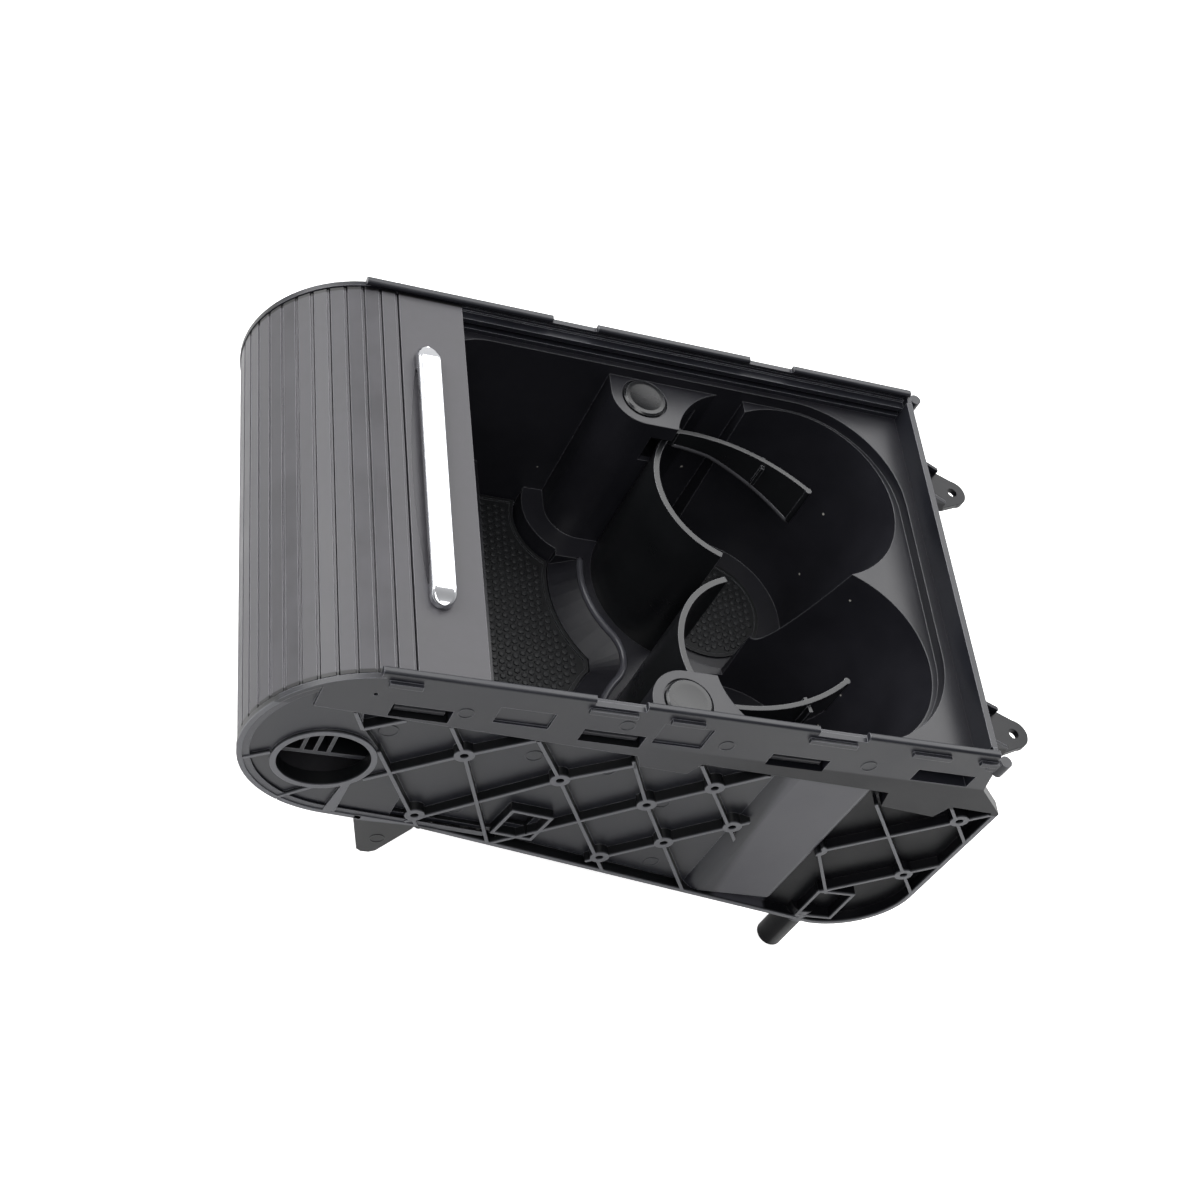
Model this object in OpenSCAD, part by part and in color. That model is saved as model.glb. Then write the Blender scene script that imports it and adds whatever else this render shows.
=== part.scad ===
// Car cup holder with a roller shutter: two ribbed side frames, an open bin with a storage pit
// and two cup wells, sprung cup arms, and a slatted shutter that rolls round the nose.
// Inside the modules x = 0 is the front of the nose, y = 0 the middle and z = 0 the top of the
// side frames, with +Y on the left side. place() then moves the origin between the rear lugs.

/* [Side frames] */
// Width over both side frames
frame_w = 170; // [170:0.5:171]
// Depth of a side frame across its ribs
frame_d = 5.4; // [5.2:0.1:5.6]
// Radius of the nose
nose_r = 42.5; // [42.5:0.1:42.8]
// Length to the rear edge of the side frames
frame_l = 278; // [277:0.5:280]
// Radius of the rear lower corner
rear_r = 28; // [27:0.5:28]
// Height of the rear lower corner's centre
rear_z = -100; // [-101:0.5:-100]
// Slope of the lower edge in degrees
low_slope = 13; // [12.8:0.1:13.2]
// Thickness of the ribs
rib_t = 1.2; // [1:0.1:1.6]
// Thickness of the rim round the frame
rim_t = 1.8; // [1.6:0.1:2.2]
// Radius of a ring boss
boss_r = 3.5; // [3:0.1:4]
// Radius of the hole in a ring boss
boss_hole_r = 1.5; // [1.2:0.1:1.8]
// Depth of the panels between the ribs near the nose
panel_recess = 3.6; // [3:0.1:4]
// Radius of the round hole in the nose
port_r = 15.5; // [14:0.5:16]

/* [Shutter] */
// Half width of the shutter's visible part
shutter_hw = 82.6; // [82.5:0.1:82.7]
// Thickness of the slats
slat_t = 2.8; // [2.6:0.1:2.8]
// Distance from one slat to the next
slat_pitch = 6.15; // [6.1:0.01:6.2]
// Number of slats
slat_count = 31; // [30:1:31]
// Length of the flat lead bar along x
lead_l = 24; // [22:0.5:25]
// Slope of the shutter's lower run in degrees
run_slope = 6; // [5.5:0.5:6.5]
// Length of the finger bar across the shutter
finger_l = 112; // [100:1:116]
// Width of the finger bar
finger_w = 8.6; // [8:0.1:9]
// Height of the finger bar above the lead bar
finger_h = 4.8; // [4.4:0.1:5]

/* [Bin] */
// Half width of the bin's cavity
bin_hw = 77.4; // [77:0.1:77.4]
// Wall of the bin
bin_t = 2.2; // [2:0.1:2.2]
// Depth of the cup wells below the frame's top
well_z = -94; // [-96:0.5:-92]
// Radius of a cup well at the top
well_r = 39.9; // [39.8:0.1:40]
// Radius of a cup well at its floor
well_floor_r = 34; // [33:0.5:35]
// Top of the sill between the storage pit and the wells
sill_z = -87; // [-88:0.5:-86]
// Floor of the storage pit below its mat
pit_z = -97.6; // [-98:0.1:-97]
// Thickness of the storage mat
mat_t = 1.6; // [1.4:0.1:2]
// Radius of a cup mat
cup_mat_r = 24.5; // [23:0.5:26]

/* [Cup arms and dividers] */
// Distance of the arms' pivots from the middle
pivot_y = 68; // [67.5:0.5:68]
// Radius of a pivot pin
pin_r = 2.5; // [2.2:0.1:2.6]
// Running clearance of a pivot pin
pin_clear = 0.05; // [0.03:0.01:0.08]
// Thickness of an arm's blade
blade_t = 1.8; // [1.6:0.1:2]
// Height of a divider plate
divider_h = 65; // [64.6:0.1:65.4]
// Thickness of a divider plate
divider_t = 2.2; // [2:0.1:2.4]
// Radius of a pivot cap
cap_r = 8.6; // [8.2:0.1:8.8]

/* [Fixing] */
// Distance between the holes of the two rear lugs
lug_spacing = 114; // [110:1:118]
// Radius of a lug's hole
lug_hole_r = 2; // [1.8:0.1:2.2]
// Radius of a lug's round end
lug_r = 6; // [5.5:0.1:6.5]
// Radius of a rear locating peg at its collar
peg_r = 6; // [5.5:0.1:6]

/* [Hidden] */
$fn = 96;
eps = 0.01;

// Places that several pieces share.
tab_out = 1.4;
peg_collar = 0.6;
lug_x = 284;
lug_z = -23;
frame_y = frame_w / 2;
inner_y = frame_y - frame_d;
nose_c = [nose_r, -nose_r];
rear_c = [frame_l - rear_r, rear_z];
rail_end_x = 258;
// The track: slats run in a channel under the rim, and their tongues in a groove in its wall.
slat_gap = 0.3;
slat_clear = 0.4;
ledge_t = 2;
wall_y = shutter_hw + slat_clear;
ledge_in = slat_gap + slat_t + slat_clear;
tongue_t = 1.2;
tongue_l = 1.1;
groove_in = slat_gap + 0.6;
groove_t = 1.8;
shoe_groove_h = 2.5;
run_end_x = 104;
// The side frame's openings, webs and smooth panel.
port_c = [30, -52];
pocket_c = [109, -79];
web_t = 1.2;
panel_x0 = 188;
panel_x1 = 224.6;
panel_z0 = -113;
// The shutter's path, counted from the top of the nose backwards.
path_r = nose_r - slat_gap;
arc_deg = 180 - run_slope;
arc_len = path_r * arc_deg * PI / 180;
lead_x = nose_r + 3.5;
lead_x1 = lead_x + 0.15;
lead_z1 = -slat_gap;
lead_z0 = -slat_gap - slat_t;
finger_x = 55;
finger_z0 = 1.2;
finger_z1 = lead_z1 + finger_h;
finger_foot_y = finger_l / 2 - 8;
screw_r = 1.2;
lens_r = 340;
// The bin's plan.
pocket_z = -15;
flange_z = -10;
flange_t = 2;
deck_x = 40;
bin_x0 = 62;
bin_x1 = 251.5;
box_x1 = 190;
front_r = 22;
well_top = [209, 37];
well_low = [203, 36];
ring_c = [187, 38];
ring_r = 51;
ridge_r = 40.5;
mat_gap = 0.8;
nook_c = [144, 0];
pivot = [147, pivot_y];
col_x0 = 133.5;
col_y0 = 55.5;
col_r = 13.5;
col_scoop_c = [188, 50];
col_scoop_r = 29;
arm_z1 = -22;
hub_h = 12;
hub_r = 6.4;

function unit(a) = [cos(a), sin(a)];
function flip(pts) = [for (i = [len(pts) - 1:-1:0]) pts[i]];
// A point at a distance along the shutter's path, sunk below its outer face.
function path_at(s, sink) =
    s < 0 ? [nose_c[0] - s, -slat_gap - sink]
    : s < arc_len ? nose_c + (path_r - sink) * unit(90 + s / arc_len * arc_deg)
    : nose_c + (path_r - sink) * unit(90 + arc_deg)
      + (s - arc_len) * [cos(run_slope), -sin(run_slope)];

module place() {
    translate([-lug_x, 0, -lug_z]) children();
}
module side(s) {
    if (s > 0) children();
    else mirror([0, 1, 0]) children();
}
// An x-z profile that runs along y from y0 to y1.
module along_y(y0, y1) {
    translate([0, y1, 0]) rotate([90, 0, 0]) linear_extrude(y1 - y0) children();
}
module block(x0, x1, y0, y1, z0, z1) {
    translate([x0, y0, z0]) cube([x1 - x0, y1 - y0, z1 - z0]);
}
// A block that lies along both sides, from |y| = y0 to y1.
module both(x0, x1, y0, y1, z0, z1) {
    for (s = [-1, 1]) side(s) block(x0, x1, y0, y1, z0, z1);
}
module bar_2d(p, q, t) {
    d = q - p;
    translate(p) rotate(atan2(d[1], d[0])) translate([0, -t / 2]) square([norm(d), t]);
}

// Outline of a side frame, drawn in by t all round.
module outline(t) {
    low_dir = unit(-90 - low_slope);
    low_t = rear_c + (rear_r - t) * low_dir;
    run = low_t[0] - nose_c[0];
    translate(nose_c) circle(nose_r - t);
    translate(rear_c) circle(rear_r - t);
    polygon([[nose_c[0], -t], [rail_end_x - t, -t], [rail_end_x + 5 - t, -20], [frame_l - t, -34 - t],
             [frame_l - t, rear_c[1]], rear_c, low_t, [nose_c[0], low_t[1] + run * tan(low_slope)],
             nose_c + [0, -nose_r + t]]);
    // The strip that covers the shutter's lower run.
    polygon([nose_c, nose_c + (nose_r - t) * unit(90 + arc_deg),
             nose_c + (nose_r - t) * unit(90 + arc_deg) + 60 * unit(-run_slope), [90, -80]]);
}

// Smooth band under the rail, with its stepped lower edge.
module band() {
    polygon([[18, 5], [18, -20.8], [131, -26], [134, -32], [152, -33], [155, -26], [229, -29],
             [231, -38], [254, -41], [257, -33], [frame_l + 5, -34.5], [frame_l + 5, 5]]);
}

ribs_down = [[[32, -22], [37, -31]], [[46, -43], [76, -92]], [[64, -23], [74, -39]],
             [[74, -39], [104, -99]], [[95, -25], [111, -47]], [[111, -47], [155, -112]],
             [[131, -30], [147, -56]], [[147, -56], [191, -120]], [[155, -27], [190, -74]],
             [[229, -38], [279, -100]], [[221, -69], [243, -104]], [[257, -33], [279, -59]]];
ribs_up = [[[0, -59], [12, -51]], [[17, -82], [31, -69]], [[37, -31], [49, -23]],
           [[46, -61], [74, -39]], [[74, -39], [94, -25]], [[68, -85], [111, -47]],
           [[111, -47], [133, -32]], [[98, -97], [147, -56]], [[147, -56], [182, -28]],
           [[141, -99], [190, -59]], [[222, -76], [279, -33]], [[239, -104], [279, -73]]];
bosses = [[74, -39], [70, -80], [111, -47], [147, -56], [145, -95], [166, -40], [164, -80],
          [184, -64], [224, -74], [266, -42], [266, -84]];
clip_windows = [[42, 62, -21, -14], [107, 129, -21, -14], [176, 198, -21, -14]];
rear_window = [232, 255, -19, -12];
lips = [[34, 105], [123, 186], [205, 257]];
tabs = [[37, 48], [104, 121], [133, 145], [184, 202], [224, 239], [251, 258]];

// Panels behind the ribs near the nose: solid as far as the rib from the third band step.
module panel_2d() {
    intersection() {
        outline(ledge_in);
        polygon([[0, 0], [131, 0], [131, -30], [147, -56], [191, -120], [0, -120]]);
    }
}

module rib_net() {
    for (r = concat(ribs_down, ribs_up)) bar_2d(r[0], r[1], rib_t);
    for (b = bosses) translate(b) circle(boss_r);
    translate(pocket_c) rotate(-8) frame_2d(16.5, 17);
    translate([247, -113]) frame_2d(16, 21);
}

// A rectangular frame one rib thick.
module frame_2d(w, h) {
    difference() {
        square([w, h], center = true);
        square([w - 2 * rib_t, h - 2 * rib_t], center = true);
    }
}
// Rim, band and ribs together, outside the smooth panel that follows the cup well.
module frame_net(t) {
    difference() {
        intersection() {
            outline(t);
            union() {
                difference() { outline(t); outline(t + rim_t); }
                band();
                difference() {
                    rib_net();
                    translate([panel_x0 + 1, panel_z0]) square([panel_x1 - panel_x0 - 1, -panel_z0 - 31]);
                }
            }
        }
        for (b = bosses) translate(b) circle(boss_hole_r, $fn = 32);
        windows_2d();
    }
}
// Every opening that goes right through the frame.
module windows_2d() {
    for (w = concat(clip_windows, [rear_window]))
        translate([w[0], w[2]]) square([w[1] - w[0], w[3] - w[2]]);
    translate(port_c) circle(port_r);
    translate(pocket_c) rotate(-8) square([9, 10], center = true);
}
// Smooth panel that bulges outwards over the cup well, with a round fold at its rear edge.
module well_panel() {
    fold_r = 3.4;
    top_y = frame_y - 1;
    intersection() {
        translate([0, 0, panel_z0]) linear_extrude(-panel_z0 - 27) intersection() {
            union() {
                translate([panel_x0 + 6, inner_y])
                    square([panel_x1 - panel_x0 - 6 - fold_r, top_y - inner_y]);
                translate([panel_x1 - fold_r, top_y - fold_r]) circle(fold_r);
                translate([panel_x1 - fold_r, inner_y]) square([fold_r, top_y - fold_r - inner_y]);
                translate([panel_x0 + 6, top_y - 10]) circle(10);
            }
            translate([panel_x0 - 2, inner_y]) square([60, 20]);
        }
        along_y(inner_y - 1, frame_y + 1) outline(rim_t - eps);
    }
}

module side_frame(s) color("#3a3b3e") place() side(s) {
    difference() {
        union() {
            // Outer wall with its full outline, then the part inside the shutter's channel.
            along_y(wall_y, frame_y) frame_net(0);
            along_y(inner_y, wall_y + eps) intersection() { frame_net(0); channel_keep(); }
            // A thin web closes the frame behind the ribs.
            along_y(inner_y, inner_y + web_t) difference() {
                intersection() { outline(rim_t - 0.4); channel_keep(); }
                windows_2d();
            }
            well_panel();
            // The panel behind the ribs.
            along_y(inner_y, frame_y - panel_recess) difference() {
                intersection() { panel_2d(); channel_keep(); }
                windows_2d();
            }
            // The nose plate, nearly flush, with the port's raised ring.
            along_y(inner_y, frame_y - 1.2) difference() {
                intersection() {
                    outline(ledge_in);
                    polygon([[0, 0], [34, -19], [37, -31], [46, -43], [62, -69], [62, -90], [0, -90]]);
                }
                translate(port_c) circle(port_r);
            }
            along_y(inner_y, frame_y) difference() {
                translate(port_c) circle(port_r + 2);
                translate(port_c) circle(port_r);
            }
            // Ledge that the slats slide on, inside the channel.
            along_y(inner_y, wall_y + eps) ledge_2d();
            // Lips over the shutter's edge, and tabs that hook under the console.
            for (l = lips) lip(l[0], l[1]);
            for (t = tabs) block(t[0], t[1], frame_y - 1, frame_y + tab_out, -3.4, -1.4);
            clip_stub();
            peg_front();
            peg_rear();
        }
        // Groove for the slats' tongues in the wall, and the shoe's groove below the ledge.
        along_y(wall_y - eps, wall_y + tongue_l + 0.2) track_2d(groove_in, groove_in + groove_t);
        block(nose_r, rail_end_x - rim_t, inner_y - eps, inner_y + 2.9,
              -ledge_in - ledge_t - shoe_groove_h, -ledge_in - ledge_t);
        // Shallow recesses in the band.
        block(76, 95, frame_y - 1, frame_y + eps, -17, -8);
        block(132, 150, frame_y - 1, frame_y + eps, -17, -5);
        translate([35, frame_y + eps, -10]) rotate([90, 0, 0]) cylinder(r = 0.8, h = 2, $fn = 24);
    }
}

// Strip along the shutter's path between two depths below the frame's edge.
module track_2d(t0, t1) {
    intersection() {
        difference() { channel_shape(t0); channel_shape(t1); }
        polygon([[-5, 5], [rail_end_x - rim_t, 5], [rail_end_x - rim_t, -30], [nose_c[0], nose_c[1]],
                 [run_end_x, -60], [run_end_x, -120], [-5, -120]]);
    }
}
// Everything inside the shutter's path, drawn in by t.
module channel_shape(t) {
    end = nose_c + (nose_r - t) * unit(90 + arc_deg) + 90 * unit(-run_slope);
    translate(nose_c) circle(nose_r - t);
    polygon([[nose_c[0], -t], [frame_l + 5, -t], [frame_l + 5, -60], end,
             nose_c + (nose_r - t) * unit(90 + arc_deg)]);
}
module ledge_2d() { track_2d(ledge_in, ledge_in + ledge_t); }
// What is left of the frame inside the channel: all but the shutter's own strip.
module channel_keep() {
    difference() {
        translate([-5, -160]) square([300, 165]);
        track_2d(-1, ledge_in);
    }
}

module lip(x0, x1) {
    r = 1.1;
    translate([x0, 0, 0]) rotate([90, 0, 90]) linear_extrude(x1 - x0) {
        translate([shutter_hw - 0.6 + r, r + 0.2]) circle(r, $fn = 32);
        translate([shutter_hw - 0.6 + r, 0.2]) square([frame_y - shutter_hw + 0.6 - 2 * r, 2 * r]);
        translate([frame_y - r, r + 0.2]) circle(r, $fn = 32);
        translate([wall_y, -0.5]) square([frame_y - wall_y, r + 0.7]);
    }
}
// The front peg hangs from the wall's lower edge, below the shutter's lower run.
module peg_front() {
    along_y(inner_y - 3, frame_y)
        polygon([[50, -86.3], [72, -88.7], [71, -91], [64, -106.5], [62, -108], [59, -108], [57, -106.5]]);
    along_y(wall_y, frame_y) polygon([[50, -84], [72, -86], [72, -88.8], [50, -86.4]]);
}
// What stands of the clip at the rail's rear end.
module clip_stub() {
    stub_x = rail_end_x + 3.4;
    stub_r = 2.3;
    stub_y = frame_y + tab_out - stub_r;
    translate([stub_x, stub_y, -8.5]) cylinder(r = stub_r, h = 7);
    block(rail_end_x - 2, stub_x, stub_y - 1.2, stub_y + 1.2, -7, -2);
}
module peg_rear() {
    translate([242, inner_y - 0.6, 0]) difference() {
        union() {
            translate([0, 0, -150]) cylinder(r = peg_r - peg_collar, h = 30);
            translate([0, 0, -128]) cylinder(r = peg_r, h = 8);
        }
        translate([0, 0, -151]) cylinder(r = 3.2, h = 22);
    }
}

module rear_crossbeam() color("#3a3b3e") place() {
    wall_x = 255.6;
    hw = inner_y;
    difference() {
        union() {
            along_y(-hw, hw) polygon([[wall_x, 0], [rail_end_x, 0], [rail_end_x, -10], [260, -12],
                                      [260, -30], [257.6, -30], [257.6, -13], [wall_x, -12]]);
            block(257.6, 264, -hw, hw, -30, -28);
            for (s = [-1, 1]) side(s) {
                lug_y = lug_spacing / 2;
                translate([0, 0, lug_z - 1.2]) linear_extrude(2.4) {
                    translate([lug_x, lug_y]) circle(lug_r);
                    polygon([[258, lug_y - 9], [lug_x - 6, lug_y - 9], [lug_x + 1, lug_y - 5.9],
                             [lug_x + 1, lug_y + 5.9], [lug_x - 6, lug_y + 9], [258, lug_y + 9]]);
                }
                for (d = [-9, 7.6]) along_y(lug_y + d, lug_y + d + 1.4)
                    polygon([[258, -12], [260, -12], [lug_x - 6.5, -19], [lug_x - 6.5, -24.2], [264, -29],
                             [258, -29]]);
            }
        }
        for (s = [-1, 1]) translate([lug_x, s * lug_spacing / 2, lug_z - 5]) cylinder(r = lug_hole_r, h = 10);
    }
}

module front_tie_bar() color("#2b2c2f") place() {
    plate_z = -57;
    along_y(-inner_y, inner_y) {
        translate([10, plate_z]) square([42, 2]);
        for (x = [23.5, 28, 32.5]) translate([x - 0.7, plate_z]) square([1.4, 13]);
    }
}

// Plan of the bin's box: straight sides and round front corners.
module box_plan(t) {
    hw = bin_hw + t;
    r = front_r + t;
    for (y = [-1, 1]) translate([bin_x0 + front_r, y * (bin_hw - front_r)]) circle(r);
    translate([bin_x0 + front_r, -hw]) square([box_x1 - bin_x0 - front_r + t, 2 * hw]);
    translate([bin_x0 - t, -bin_hw + front_r]) square([box_x1 - bin_x0, 2 * (bin_hw - front_r)]);
    // A tongue between the wells, as far as the place where they are closest.
    translate([box_x1 - 1, -12 - t]) square([well_low[0] - box_x1 + 1 + t, 24 + 2 * t]);
}
module pocket_plan(t) {
    r = bin_x1 - well_top[0];
    box_plan(t);
    for (y = [-1, 1]) translate([bin_x1 - r, y * (bin_hw - r)]) circle(r + t);
    translate([box_x1 - 1, -bin_hw - t]) square([bin_x1 - r - box_x1 + 1, 2 * (bin_hw + t)]);
    translate([bin_x1 - r, -bin_hw + r]) square([r + t, 2 * (bin_hw - r)]);
}
// A cup well: a cone whose axis leans back with height.
module well(t, floor_z) {
    top = [well_top[0], well_top[1], flange_z - 2];
    low = [well_low[0], well_low[1], floor_z - 4];
    d = top - low;
    intersection() {
        translate(low) rotate([0, acos(d[2] / norm(d)), atan2(d[1], d[0])]) rotate(165)
            cylinder(r1 = well_floor_r + t, r2 = well_r + t, h = norm(d));
        block(0, 300, -5, 100, floor_z, flange_z - 2);
    }
}
// Storage pit: what lies in front of two ring shapes and the pivot columns' feet.
module pit_plan(t) {
    difference() {
        intersection() {
            box_plan(t);
            translate([104 - t, -90]) square([46 + 2 * t, 180]);
        }
        for (y = [-1, 1]) {
            translate([ring_c[0], y * ring_c[1]]) circle(ring_r - t);
            translate([pivot[0], y * (pivot[1] + 1)]) circle(23 - t);
        }
    }
}
// Plan of the bank behind the pit at a ring radius r: an S-shaped line round both rings.
function bank_plan(r, t) =
    let (d = norm(ring_c - nook_c), a = atan2(ring_c[1], ring_c[0] - nook_c[0]), n = 8,
         far = 170 - 1.7 * t,
         ring = [for (i = [0:n]) ring_c + (r - t) * unit(180 + a + i / n * (far - 180 - a))],
         nook = [for (i = [0:n]) nook_c + (d - r + t) * unit(-a + i / n * 2 * a)])
    concat([[120, ring[n][1]]], flip(ring), flip([for (i = [1:n - 1]) nook[i]]),
           [for (p = ring) [p[0], -p[1]]], [[120, -ring[n][1]]]);
// The bank rises from just above the mat's level to the ridge at the sill.
module pit_bank(t) {
    z0 = pit_z + mat_t;
    slope = (ring_r + 0.6 - ridge_r) / (sill_z - z0);
    low = bank_plan(ring_r + 0.6, t);
    high = bank_plan(ridge_r - slope, t);
    n = len(low);
    polyhedron(
        points = concat([for (p = low) [p[0], p[1], z0 - t]], [for (p = high) [p[0], p[1], sill_z + 1 - t]]),
        faces = concat([[for (i = [n - 1:-1:0]) i]], [[for (i = [0:n - 1]) n + i]],
                       [for (i = [0:n - 1]) let (j = (i + 1) % n) [i, j, n + j, n + i]]));
}
// The bin's cavity, grown by t on every side.
module cavity(t) {
    translate([0, 0, pocket_z - t]) linear_extrude(-pocket_z + t + flange_z + eps) pocket_plan(t);
    intersection() {
        translate([0, 0, sill_z - t]) linear_extrude(-sill_z + flange_z + t) box_plan(t);
        along_y(-90, 90) polygon([[bin_x0 - t, 0], [bin_x0 - t, -70 - t], [102 - t / 2, -76.5 - t],
                                  [104 - t, sill_z - t], [220, sill_z - t], [220, 0]]);
    }
    translate([0, 0, pit_z - t]) linear_extrude(sill_z - pit_z + t + eps) pit_plan(t);
    pit_bank(t);
    for (s = [-1, 1]) side(s) well(t, well_z - t);
}
// Plan of a pivot column, drawn in by t.
module column_plan(t) {
    difference() {
        union() {
            translate([col_x0 + col_r, col_y0 + col_r]) circle(col_r - t);
            translate([col_x0 + t, col_y0 + col_r]) square([188 - col_x0 - t, bin_hw + 3 - col_y0 - col_r]);
            translate([col_x0 + col_r, col_y0 + t]) square([30, 30]);
        }
        translate(col_scoop_c) circle(col_scoop_r + t);
    }
}
// Ring sector that a divider fills, from inside the column to the gap in the middle.
module divider_plan() {
    intersection() {
        difference() {
            translate(ring_c) circle(36);
            translate(ring_c) circle(36 - divider_t);
        }
        polygon([ring_c, ring_c + 60 * unit(248.5), ring_c + 60 * unit(205), ring_c + 60 * unit(170),
                 ring_c + 60 * unit(144)]);
    }
}

module bin() color("#1d1e20") place() {
    difference() {
        union() {
            difference() {
                union() {
                    cavity(bin_t);
                    // Flange and front deck.
                    block(deck_x, 255.6, -inner_y, inner_y, flange_z - flange_t, flange_z);
                }
                difference() {
                    cavity(0);
                    for (s = [-1, 1]) side(s) translate([0, 0, -120])
                        linear_extrude(120 + pocket_z + 0.5) column_plan(0);
                }
                // The columns are hollow and open at the side.
                for (s = [-1, 1]) side(s) translate([0, 0, -84]) linear_extrude(84 + pocket_z - 1.7)
                    intersection() {
                        column_plan(bin_t);
                        translate([100, 0]) square([86, inner_y + 1]);
                    }
            }
            for (s = [-1, 1]) side(s) {
                // Bracket and tube that hold the foot of the pivot pin.
                translate([0, 0, -48]) linear_extrude(2.4) intersection() {
                    column_plan(1);
                    translate([100, 0]) square([72, inner_y]);
                }
                translate([pivot[0], pivot[1], -45.7]) difference() {
                    cylinder(r = 4.4, h = 4);
                    translate([0, 0, 1]) cylinder(r = pin_r, h = 5);
                }
                translate([pivot[0], pivot[1], -20.5]) cylinder(r = 4.4, h = 5);
                // Snap tabs that click into the frame's windows.
                block(deck_x + 4, bin_x0 - 2, inner_y - 1.8, inner_y, -20, flange_z - flange_t + eps);
                for (w = clip_windows) snap_tab(w);
            }
        }
        for (s = [-1, 1]) side(s) {
            // Slot that the arm swings in, the divider's seat, and the recess and bore at the pivot.
            translate([0, 0, arm_z1 - hub_h - 0.7]) linear_extrude(hub_h + 1.3)
                polygon([[151, 50], [172, 50], [172, 74.5], [157, 74.5], [151, 71]]);
            translate([0, 0, -23 - divider_h]) linear_extrude(divider_h) divider_plan();
            translate([pivot[0], pivot[1], pocket_z - 1]) cylinder(r = cap_r + 0.7, h = 3);
            translate([pivot[0], pivot[1], -30]) cylinder(r = pin_r, h = 20);
            // Recess for the cup mat.
            translate([well_low[0], well_low[1], well_z - 1]) cylinder(r = cup_mat_r, h = 3);
        }
    }
}
module snap_tab(w) {
    z = (w[2] + w[3]) / 2;
    translate([w[0] + 1.5, inner_y, z]) rotate([90, 0, 90]) linear_extrude(w[1] - w[0] - 3)
        polygon([[-0.5, 2.2], [1, 2.2], [3.6, -0.6], [3.6, -2.2], [-0.5, -2.2]]);
}

module storage_mat() color("#151515") place()
    translate([0, 0, pit_z]) {
        linear_extrude(mat_t) pit_plan(-mat_gap);
        linear_extrude(mat_t + 0.8) difference() {
            pit_plan(-mat_gap);
            pit_plan(-mat_gap - 1.4);
        }
    }
module cup_mat(s) color("#151515") place() side(s) translate([well_low[0], well_low[1], well_z - 1]) {
    difference() {
        cylinder(r = cup_mat_r, h = 2);
        translate([0, 0, 1.5]) cylinder(r = cup_mat_r - 1.5, h = 1);
    }
}
module divider(s) color("#2a2b2e") place() side(s)
    translate([0, 0, -23 - divider_h]) linear_extrude(divider_h) divider_plan();

module pivot_cap(s) color("#2a2b2e") place() side(s) translate([pivot[0], pivot[1], pocket_z - 1])
    difference() {
        union() {
            cylinder(r = cap_r, h = 1.8);
            translate([0, 0, 1.8]) cylinder(r1 = cap_r, r2 = cap_r - 0.7, h = 0.7);
        }
        translate([0, 0, 36.9]) sphere(r = 35);
    }
module pivot_pin(s) color("#8d9094") place() side(s) translate([pivot[0], pivot[1], -44.7])
    cylinder(r = pin_r, h = 28.5);
module arm_spring(s) color("#9a9da1") place() side(s) translate([pivot[0], pivot[1], -41.2]) {
    wire = 0.8;
    for (i = [0:3]) translate([0, 0, wire + i * wire * 1.9])
        rotate_extrude($fn = 48) translate([4.1, 0]) circle(wire, $fn = 16);
}

module cup_arm(s) color("#2a2b2e") place() side(s) {
    difference() {
        union() {
            translate([pivot[0], pivot[1], arm_z1 - hub_h]) cylinder(r = hub_r, h = hub_h);
            // Blade: straight root, then a long curve that follows a cup.
            intersection() {
                translate([0, 0, -44]) linear_extrude(22) blade_plan();
                along_y(0, 90) polygon([[140, arm_z1], [220, arm_z1], [220, -42], [206, -38], [180, -31],
                                        [160, -29], [140, arm_z1 - hub_h]]);
            }
            // Stiffening fin near the tip.
            translate([0, 0, -34]) linear_extrude(10) bar_2d([199, 52.5], [200.5, 58.5], 1.4);
        }
        translate([pivot[0], pivot[1], -60]) cylinder(r = pin_r + pin_clear, h = 60);
    }
}
// The blade's plan: a bar from the hub and an arc that ends at the rounded tip.
module blade_plan() {
    arc_c = [168, -12];
    r0 = 75;
    intersection() {
        difference() {
            translate(arc_c) circle(r0);
            translate(arc_c) circle(r0 - blade_t);
        }
        polygon([arc_c, arc_c + 120 * unit(94), arc_c + 120 * unit(70), arc_c + 120 * unit(49)]);
    }
    translate(arc_c + (r0 - blade_t / 2) * unit(49)) circle(blade_t * 0.7, $fn = 24);
    bar_2d([148, 67.4], arc_c + (r0 - blade_t / 2) * unit(93), 3);
}

// Where a slat starts along the path.
function slat_s(i) = i * slat_pitch - 3.5;
// The shutter's section: slats with a step and a groove between them, on a thin web.
module slat_section() {
    top = [for (i = [0:slat_count - 1]) let (s = slat_s(i)) each [
        path_at(s, 1.6), path_at(s + 0.3, 1.6), path_at(s + 0.5, 0.5), path_at(s + 1.2, 0.5),
        path_at(s + 1.3, 0), path_at(s + slat_pitch - 0.05, 0)]];
    low = [for (i = [0:slat_count]) path_at(slat_s(i), slat_t)];
    polygon(concat(top, flip(low)));
}
module slat_curtain() color("#4c4d50") place() {
    along_y(-shutter_hw, shutter_hw) slat_section();
    for (i = [1:slat_count - 1]) {
        s0 = slat_s(i) + 1.6;
        s1 = slat_s(i) + 4.6;
        low = (slat_t + tongue_t) / 2;
        high = (slat_t - tongue_t) / 2;
        for (s = [-1, 1]) side(s) along_y(shutter_hw - eps, shutter_hw + tongue_l)
            polygon([path_at(s0, low), path_at(s1, low), path_at(s1, high), path_at(s0, high)]);
    }
}

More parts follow.
